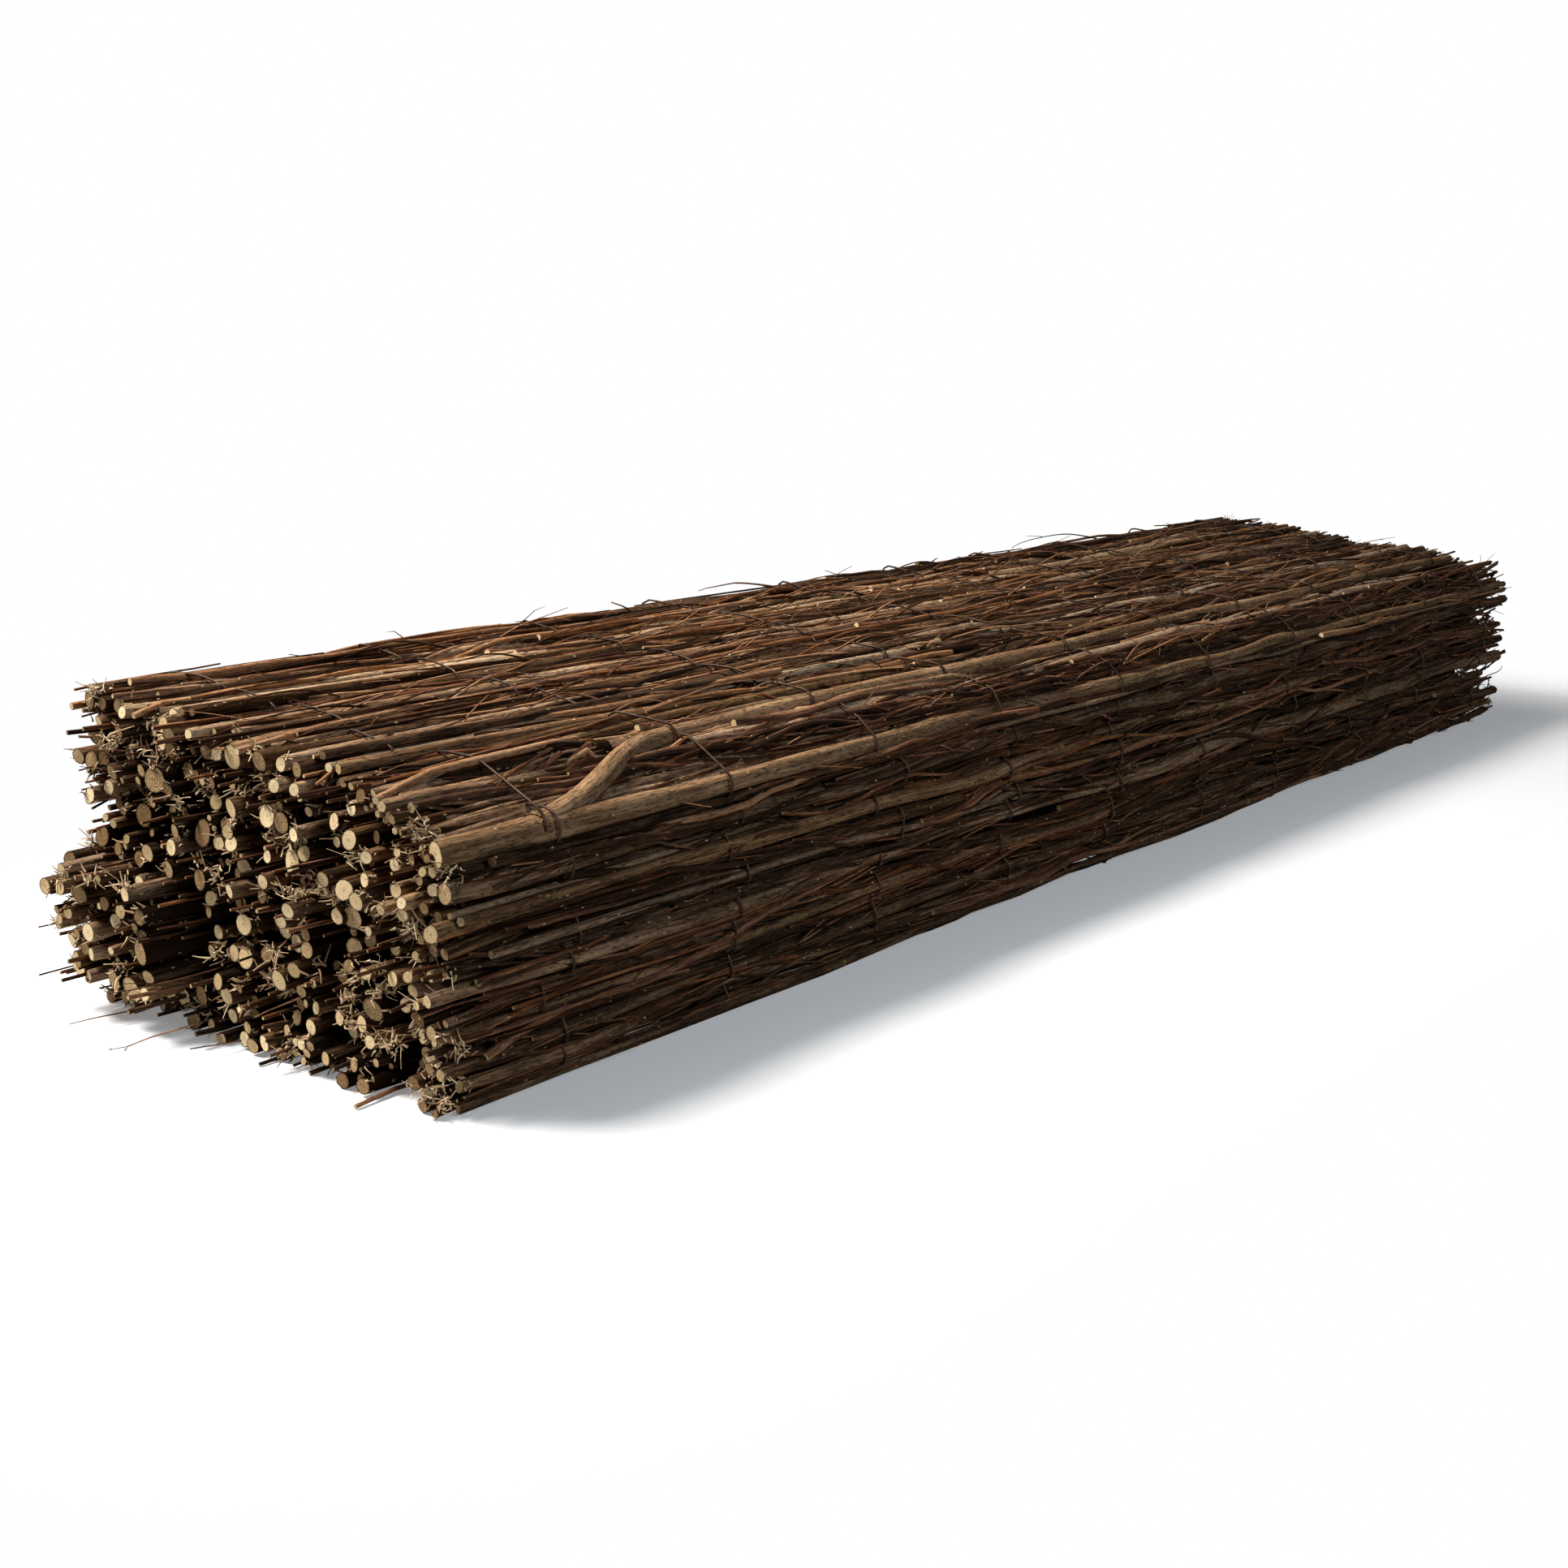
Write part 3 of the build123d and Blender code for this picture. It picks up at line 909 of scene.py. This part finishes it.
class HEATHER_OT_shoulder(bpy.types.Operator):
    """Fills the hollow beside the forked branch"""

    bl_idname = "heather.shoulder"
    bl_label = "Shoulder stems"

    def execute(self, context):
        rng = chance("shoulder")
        brush = Brush()
        for _ in range(context.scene.heather_brushwood.shoulder_stems):
            stem = shoulder_stem(rng)
            add_stem(brush, stem, THIN_SIDES, rng)
            add_spurs(brush, stem.line, stem.radius, rng)
        piece = brush.build("shoulder_stems", BARK, CUT)
        return {"FINISHED"}


def filler_stem(layer, bunch, rng, stations=20):
    """A thinner stem from end to end of a bunch, or None where it has no room."""
    low, high = bunch_box(layer, bunch)
    radius = between(rng, 1.9, 3.4)
    set_back = FILLER_SET_BACK if bunch in EDGE_BUNCHES else 0.0
    near_x = low.x + between(rng, -2, 30) + set_back
    far_x = high.x + between(rng, -24, 6)
    near = free_place(layer, bunch, end_columns(low.x, 1), radius, rng)
    far = free_place(layer, bunch, end_columns(high.x, -1), radius, rng)
    if near is None or far is None:
        return None
    line = bent_line((near_x, *near), (far_x, *far), stations, 3.0 * MM, rng, held=True)
    # Painted shade: filler stems lie between the thick stems, and their bark is made darker for the shade
    # there.
    tint = rng.random(3) * (0.65, 1.0, 1.0)
    settle(line, layer, radius)
    return Stem(layer, bunch, line, knotty(radius, radius * 0.6, line, rng), tint)


class HEATHER_OT_filler(bpy.types.Operator):
    """Fills the bunches with thinner stems from end to end"""

    bl_idname = "heather.filler"
    bl_label = "Filler stems"

    def execute(self, context):
        rng = chance("filler")
        brush = Brush()
        for layer, bunch in PLACES:
            for _ in range(context.scene.heather_brushwood.filler_stems):
                stem = filler_stem(layer, bunch, rng)
                if stem is not None:
                    add_stem(brush, stem, THIN_SIDES, rng)
        piece = brush.build("filler_stems", BARK, CUT)
        return {"FINISHED"}


def end_twig(layer, bunch, x, inward, rng, stations=6):
    """A short twig that shows at one end of a bunch, or None where it has no room."""
    radius = between(rng, 0.5, 1.7)
    length = between(rng, 90, 200)
    set_back = TWIG_SET_BACK if bunch in EDGE_BUNCHES else 0.0
    start = x + inward * (set_back + between(rng, 0, 55) if rng.random() < 0.9 else between(rng, -16, 0))
    place = free_place(layer, bunch, end_columns(x, inward), radius, rng)
    if place is None:
        return None
    near = np.array([start, *place])
    far = near + np.array([inward * length, rng.normal(0, 4 * MM), rng.normal(0, 3 * MM)])
    line = bent_line(near, far, stations, 2.2 * MM, rng, held=True)
    return settle(line, layer, radius), np.linspace(radius, radius * 0.7, stations)


class HEATHER_OT_end_twigs(bpy.types.Operator):
    """Fills the gaps between the sawn ends with thin twigs"""

    bl_idname = "heather.end_twigs"
    bl_label = "Twigs at the ends"

    def execute(self, context):
        brushwood = context.scene.heather_brushwood
        for name, count, inward in (("near_end_twigs", brushwood.near_twigs, 1),
                                    ("far_end_twigs", brushwood.far_twigs, -1)):
            rng = chance(name)
            brush = Brush()
            for layer, bunch in PLACES:
                low, high = bunch_box(layer, bunch)
                for _ in range(count):
                    twig = end_twig(layer, bunch, low.x if inward > 0 else high.x, inward, rng)
                    if twig is not None:
                        # Painted shade: twigs at the ends lie in the gaps between sawn ends, and their bark
                        # is made darker for the shade there.
                        add_twig(brush, *twig, TWIG_SIDES, rng.random(3) * (0.6, 1.0, 1.0), rng)
            piece = brush.build(name, TWIG, CUT)
        return {"FINISHED"}


def twig_run(radius, rng, shortest=90 * MM):
    """Places along the pack of a long twig, each one's share of its length, and its sway across."""
    low_x, high_x = CAD_BOX[0].x + NEAR_STEP, CAD_BOX[1].x
    length = rng.uniform(0.16, 0.75)
    start = rng.uniform(low_x - 0.2, high_x - 0.1)
    end = min(start + length, high_x + between(rng, -16, 10))
    start = max(start, low_x + between(rng, -4, 30))
    end = max(end, start + shortest)
    share = np.linspace(0, 1, stations_in(end - start, 20 * MM))
    x = start + (end - start) * share
    sway = rng.normal(0, 26 * MM) * (share - 0.5)
    if radius < 1.5 * MM and rng.random() < 0.3:
        sway += between(rng, 5, 9) * waves(x, rng, longest=0.34, shortest=0.16, kink_size=0.0)
    else:
        sway += between(rng, 1.5, 5.5) * waves(x, rng, longest=0.4, shortest=0.1, kink_size=0.15)
    return x, share, sway


def draped_twig(face, radius, low_edge, rng, tries=4, edge_height=12 * MM, gap_half=4.5 * MM,
                most_pressed=8 * MM):
    """A long twig on the stems of one face, at its low edge or in the deepest hollow of a few places."""
    x, share, sway = twig_run(radius, rng)
    highest = face.low + edge_height if low_edge else face.high
    chosen = None
    for _ in range(tries):
        middle = rng.uniform(face.low, highest)
        if any(abs(middle - gap) < gap_half for gap in face.gaps):
            continue
        across = np.clip(middle + sway, face.low, face.high)
        height = surface(face, x, across, radius)
        beside = [surface(face, x, across + side * 9 * MM, radius).mean() for side in (-1, 1)]
        hollow = max(beside) - height.mean()
        if chosen is None or hollow > chosen[2]:
            chosen = across, height, hollow
    if chosen is None:
        return draped_twig(face, radius, low_edge, rng)
    across, height, _ = chosen
    even = np.convolve(np.pad(height, 2, mode="edge"), np.ones(5) / 5, mode="valid")
    height = np.maximum(height - 1.5 * MM, even) - between(rng, 0, 1.8)
    height += between(rng, 0.3, 1.6) * waves(x, rng, longest=0.3, shortest=0.07)
    if face is FACES["top"]:
        pressed = under_branch(x, across, height, radius)
        if np.max(height - pressed) > most_pressed:
            return draped_twig(face, radius, low_edge, rng)
        height = pressed
    line = np.stack(np.broadcast_arrays(*face.to_point(x, across, height)), axis=-1)
    thickness = radius * (1 - 0.55 * share) * (1 + 0.1 * waves(x, rng, longest=0.3))
    if rng.random() < 0.4:
        line = line[::-1].copy()
    return above_floor(line, radius), np.maximum(thickness, 0.35 * MM)


class HEATHER_OT_twigs(bpy.types.Operator):
    """Lays long twigs on the top and the long sides"""

    bl_idname = "heather.twigs"
    bl_label = "Long twigs"

    def execute(self, context):
        brushwood = context.scene.heather_brushwood
        # Painted shade: twigs on the right-hand and left-hand faces get darker bark than those on top, for
        # the shade on those faces.
        kinds = (("top", brushwood.top_twigs, 1.0), ("right", brushwood.right_twigs, 0.68),
                 ("left", brushwood.left_twigs, 0.85))
        for seed, (side, count, painted_shade) in enumerate(kinds):
            rng = chance("faces", seed)
            brush = Brush()
            for number in range(count):
                thick = number % THICK_EVERY == 0
                low_edge = side != "top" and number % LOW_EDGE_EVERY == 1
                radius = between(rng, 1.8, 3.1) if thick else between(rng, 0.6, 1.7)
                line, thickness = draped_twig(FACES[side], radius, low_edge, rng)
                tint = rng.random(3) * (painted_shade, 1.0, 1.0)
                add_twig(brush, line, thickness, THIN_SIDES if thick else TWIG_SIDES, tint, rng)
                add_spurs(brush, line, thickness, rng)
            piece = brush.build(f"twigs_{side}", TWIG, CUT)
        return {"FINISHED"}


def stray_twig(rng, stations=10, along_margin=34 * MM, margin=9 * MM):
    """A thin twig that springs out of the pack at its top, its far end or its near end."""
    low, high = CAD_BOX
    kind = rng.random()
    heading = 1 if rng.random() < 0.7 else -1
    if kind < 0.7:
        x, y = rng.uniform(low.x + 0.08, high.x - 0.15), rng.uniform(-0.92, 0.97) * high.y
        z = surface(FACES["top"], np.array([x]), np.array([y]), 1 * MM)[0] - 2 * MM
        rise = between(rng, 3, 14)
    elif kind < 0.94:
        x, heading = high.x - between(rng, 50, 110), 1
        y, z = rng.uniform(-0.95, 0.95) * high.y, rng.uniform(0.01, 0.17)
        rise = between(rng, -4, 10)
    else:
        x, heading = low.x + between(rng, 90, 140), -1
        y, z = rng.uniform(-0.6, 0.8) * high.y, rng.uniform(0.004, 0.05)
        rise = between(rng, -12, 2)
    length = between(rng, 60, 160)
    share = np.linspace(0, 1, stations)
    arch = np.sin(math.pi * share * rng.uniform(0.5, 1.1))
    bend = rng.normal(0, 16 * MM) * share**2
    line = np.stack([x + heading * length * share, y + bend, z + rise * arch], axis=-1)
    line[:, 1] += 2.0 * MM * waves(line[:, 0], rng, longest=0.15, shortest=0.04)
    lowest = low.x - along_margin, low.y - margin, 1.2 * MM
    line = np.clip(line, lowest, (high.x + along_margin, high.y + margin, high.z + margin))
    return line, np.linspace(rng.uniform(0.6, 1.1), 0.35, stations) * MM


class HEATHER_OT_strays(bpy.types.Operator):
    """Adds the twigs that stand out of the pack"""

    bl_idname = "heather.strays"
    bl_label = "Stray twigs"

    def execute(self, context):
        rng = chance("strays")
        brush = Brush()
        for _ in range(context.scene.heather_brushwood.stray_twigs):
            line, radius = stray_twig(rng)
            add_twig(brush, line, radius, TWIG_SIDES, rng.random(3), rng)
            add_spurs(brush, line, radius, rng, most=3)
        piece = brush.build("stray_twigs", TWIG, CUT)
        return {"FINISHED"}


def add_fibre(brush, start, heading, length, curl, widths, widest, rng):
    """A torn fibre that leaves its start along its heading, curls and ends thin."""
    share = np.linspace(0, 1, 4)[:, None]
    strip = start + heading * length * share + rng.normal(0, curl, 3) * length * share**2
    width = np.linspace(*widths, len(strip)) * rng.uniform(0.5, widest) * MM
    tint = 0.4 + 0.6 * rng.random(3)
    add_twig(brush, above_floor(strip, 0.6 * MM), width, FIBRE_SIDES, tint, rng)


def add_tuft(brush, stem, index, outward, count, rng):
    """Torn fibres round one part of a sawn end."""
    facing = rng.uniform(0, TURN)
    for _ in range(count):
        angle = facing + rng.normal(0, 0.8)
        out = np.array([0.0, math.cos(angle), math.sin(angle)])
        start = stem.line[index] + out * stem.radius[index] * rng.uniform(0.75, 1.02)
        start[0] -= outward * between(rng, 0, 7)
        length = between(rng, 1.5, 5)
        heading = np.array([outward * 0.8, 0, 0]) + out * rng.uniform(0.1, 0.9)
        add_fibre(brush, start, heading, length, 0.55, (0.8, 0.3), 1.3, rng)


def add_clump(brush, place, outward, rng):
    """A shaggy clump of broken twig ends and torn bark between the sawn ends."""
    for _ in range(rng.integers(12, 30)):
        start = place + rng.normal(0, 1, 3) * (3 * MM, 3 * MM, 2.5 * MM)
        length = between(rng, 1.5, 5)
        heading = np.array([0.5 * outward, 0, 0]) + rng.normal(0, 0.6, 3)
        add_fibre(brush, start, heading, length, 0.9, (0.75, 0.3), 1.4, rng)


class HEATHER_OT_fibres(bpy.types.Operator):
    """Frays the sawn ends with torn fibres"""

    bl_idname = "heather.fibres"
    bl_label = "Torn fibres"

    def execute(self, context):
        brushwood = context.scene.heather_brushwood
        rng = chance("fibres")
        brush = Brush()
        for count, outward in ((brushwood.near_clumps, -1.0), (brushwood.far_clumps, 1.0)):
            for _ in range(count):
                layer, bunch = rng.integers(1, LAYERS + 1), rng.integers(1, BUNCHES + 1)
                end = bunch_box(layer, bunch)[0 if outward < 0 else 1].x
                place = free_place(layer, bunch, end_columns(end, -outward), 1.5 * MM, rng)
                if place is not None:
                    middle = np.array([end - outward * between(rng, 1, 18), *place])
                    add_clump(brush, middle, outward, rng)
        for stem in SOLID:
            for index, outward, share in ((0, -1.0, 0.7), (-1, 1.0, 0.4)):
                if rng.random() < share:
                    add_tuft(brush, stem, index, outward, rng.integers(2, brushwood.end_fibres + 1), rng)
        piece = brush.build("torn_fibres", FIBRE, CUT)
        return {"FINISHED"}


def hull(points):
    """Outer corners of points in a plane, in order."""
    points = sorted(map(tuple, points))

    def half(run):
        """Corners of one half, left turns only."""
        chain = []
        for p in run:
            while len(chain) > 1 and ((chain[-1][0] - chain[-2][0]) * (p[1] - chain[-2][1])
                                      - (chain[-1][1] - chain[-2][1]) * (p[0] - chain[-2][0])) <= 0:
                chain.pop()
            chain.append(p)
        return chain[:-1]

    return np.array(half(points) + half(points[::-1]))


def wire_loop(circles, x, pad, corners, rng):
    """A closed line drawn tight round the stems of a bunch and the twigs on them."""
    angles = np.linspace(0, TURN, STEM_SIDES, endpoint=False)
    out = WIRE_GAUGE / 2 + pad
    rim = np.concatenate([[(y + (r + out) * math.cos(a), z + (r + out) * math.sin(a)) for a in angles]
                          for y, z, r in circles])
    outline = hull(rim)
    closed = np.vstack([outline, outline[:1]])
    run = run_along(closed)
    places = np.linspace(0, run[-1], corners, endpoint=False)
    y, z = (np.interp(places, run, column) for column in closed.T)
    skew = rng.uniform(-0.3, 0.3)
    return np.column_stack([x + skew * (y - y.mean()), y, np.maximum(z, WIRE_GAUGE / 2)])


class HEATHER_OT_wire(bpy.types.Operator):
    """Draws the binding wire tight round every bunch"""

    bl_idname = "heather.wire"
    bl_label = "Binding wire"

    def execute(self, context):
        rng = chance("wire")
        brush = Brush()
        layer_shift = rng.uniform(-9, 9, LAYERS + 1) * MM
        for x in WIRE_X:
            for layer, bunch in PLACES:
                place = x + layer_shift[layer] + rng.normal(0, 4.5) * MM
                column = grid_column(place)
                circles = [(GRID_Y[i, column], GRID_Z[i, column], GRID_R[i, column])
                           for i, stem in enumerate(SOLID)
                           if (stem.layer, stem.bunch) == (layer, bunch) and GRID_ON[i, column]]
                shown = is_outside(layer, bunch)
                pad = between(rng, 1.8, 3.2) if shown and layer > 1 else 0.3 * MM
                line = wire_loop(circles, place, pad, SHOWN_CORNERS if shown else HIDDEN_CORNERS, rng)
                add_loop(brush, line, 0.7 * WIRE_GAUGE, THIN_SIDES if shown else TWIG_SIDES, rng)
        piece = brush.build("wire_loops", WIRE)
        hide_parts(*WIRE_NODES)
        return {"FINISHED"}


# Stage

def area_light(name, place, target, size, power, colour, spread=180.0):
    """A round soft light that faces a target, with its spread in degrees."""
    lamp = bpy.data.lights.new(name, "AREA")
    lamp.shape = "DISK"
    lamp.size = size
    lamp.spread = math.radians(spread)
    lamp.energy = power
    lamp.color = colour
    light = new_object(name, lamp)
    light.location = place
    light.rotation_euler = (Vector(target) - Vector(place)).to_track_quat("-Z", "Y").to_euler()


def floor_material(colour, fade_reach=0.34, strongest=0.78):
    """A pale matt floor that keeps the shadow and fades into the white background."""
    material, tree, shader = start_material("pale floor")

    def step(operation, *values):
        """One step of arithmetic on places on the floor."""
        return add_node(tree, "ShaderNodeVectorMath", dict(enumerate(values)), operation=operation).outputs

    place = add_node(tree, "ShaderNodeNewGeometry").outputs["Position"]
    past = step("SUBTRACT", step("ABSOLUTE", place)[0], (CAD_BOX[1].x, CAD_BOX[1].y, 0.0))
    distance = step("LENGTH", step("MAXIMUM", past[0], (0.0, 0.0, 0.0))[0])["Value"]
    fade = add_node(tree, "ShaderNodeMapRange", {"Value": distance, "From Min": 0.0, "From Max": fade_reach,
                                                 "To Min": strongest, "To Max": 0.0},
                    interpolation_type="SMOOTHSTEP")
    set_inputs(tree, shader, {"Base Color": colour, "Roughness": 0.95, "Specular IOR Level": 0.0,
                              "Alpha": fade.outputs[0]})
    return material


def light_world(scene, sky):
    """A white background with a little even light all round."""
    world = bpy.data.worlds.new("studio")
    scene.world = world
    world.use_nodes = True
    tree = world.node_tree
    path = add_node(tree, "ShaderNodeLightPath").outputs
    shown = maths(tree, "ADD", path["Is Camera Ray"], path["Is Glossy Ray"])
    shown = maths(tree, "MINIMUM", maths(tree, "ADD", shown, path["Is Transmission Ray"]), 1.0)
    set_inputs(tree, tree.nodes["Background"], {"Color": (1.0, 1.0, 1.0),
                                                "Strength": weighted(tree, sky, (shown, 1.0 - sky))})


class HEATHER_OT_stage(bpy.types.Operator):
    """Sets the floor, the lights and the camera"""

    bl_idname = "heather.stage"
    bl_label = "Stage"

    def execute(self, context):
        scene = context.scene
        settings = scene.heather_stage
        scene.view_settings.view_transform = "Standard"
        mesh = bpy.data.meshes.new("floor")
        reach = 14.0
        corners = [(-reach, -reach, 0), (reach, -reach, 0), (reach, reach, 0), (-reach, reach, 0)]
        mesh.from_pydata(corners, [], [(0, 1, 2, 3)])
        mesh.materials.append(floor_material(settings.floor))
        floor = new_object("floor", mesh)

        light_world(scene, settings.sky)
        area_light("key", (-1.34, 0.98, 1.95), (-0.33, 0.0, 0.1), 0.9, settings.key_power,
                   (1.0, 0.98, 0.95), spread=90.0)
        area_light("fill", (-0.8, -2.4, 1.5), (-0.6, 0.0, 0.1), 1.0, settings.fill_power, (0.72, 0.86, 1.0))

        lens = bpy.data.cameras.new("camera")
        lens.lens = settings.lens
        lens.sensor_width = 36.0
        camera = new_object("camera", lens)
        camera.location = settings.place
        camera.rotation_euler = Euler((math.pi / 2 - settings.pitch, 0.0, -settings.yaw))
        scene.camera = camera
        return {"FINISHED"}


class HEATHER_PT_pack(bpy.types.Panel):
    """Everything that makes up the folded screen"""

    bl_idname = "HEATHER_PT_pack"
    bl_label = "Heather screen"
    bl_space_type = "VIEW_3D"
    bl_region_type = "UI"
    bl_category = "Heather"

    def draw(self, context):
        for operator in OPERATORS:
            self.layout.operator(operator.bl_idname)


OPERATORS = (HEATHER_OT_stems, HEATHER_OT_branch, HEATHER_OT_shoulder, HEATHER_OT_filler,
             HEATHER_OT_end_twigs, HEATHER_OT_twigs, HEATHER_OT_strays, HEATHER_OT_fibres,
             HEATHER_OT_wire, HEATHER_OT_stage)
SETTINGS = {"heather_look": HeatherLook, "heather_brushwood": HeatherBrushwood,
            "heather_stage": HeatherStage}


def register():
    """Adds the settings, the operators and the panel."""
    for kind in (*SETTINGS.values(), *OPERATORS, HEATHER_PT_pack):
        bpy.utils.register_class(kind)
    for name, kind in SETTINGS.items():
        setattr(bpy.types.Scene, name, bpy.props.PointerProperty(type=kind))


def unregister():
    """Takes the settings, the operators and the panel away again."""
    for name in SETTINGS:
        delattr(bpy.types.Scene, name)
    for kind in reversed((*SETTINGS.values(), *OPERATORS, HEATHER_PT_pack)):
        bpy.utils.unregister_class(kind)


def main():
    """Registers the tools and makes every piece."""
    register()
    for operator in OPERATORS:
        group, name = operator.bl_idname.split(".")
        getattr(getattr(bpy.ops, group), name)()


if __name__ == "__main__":
    main()
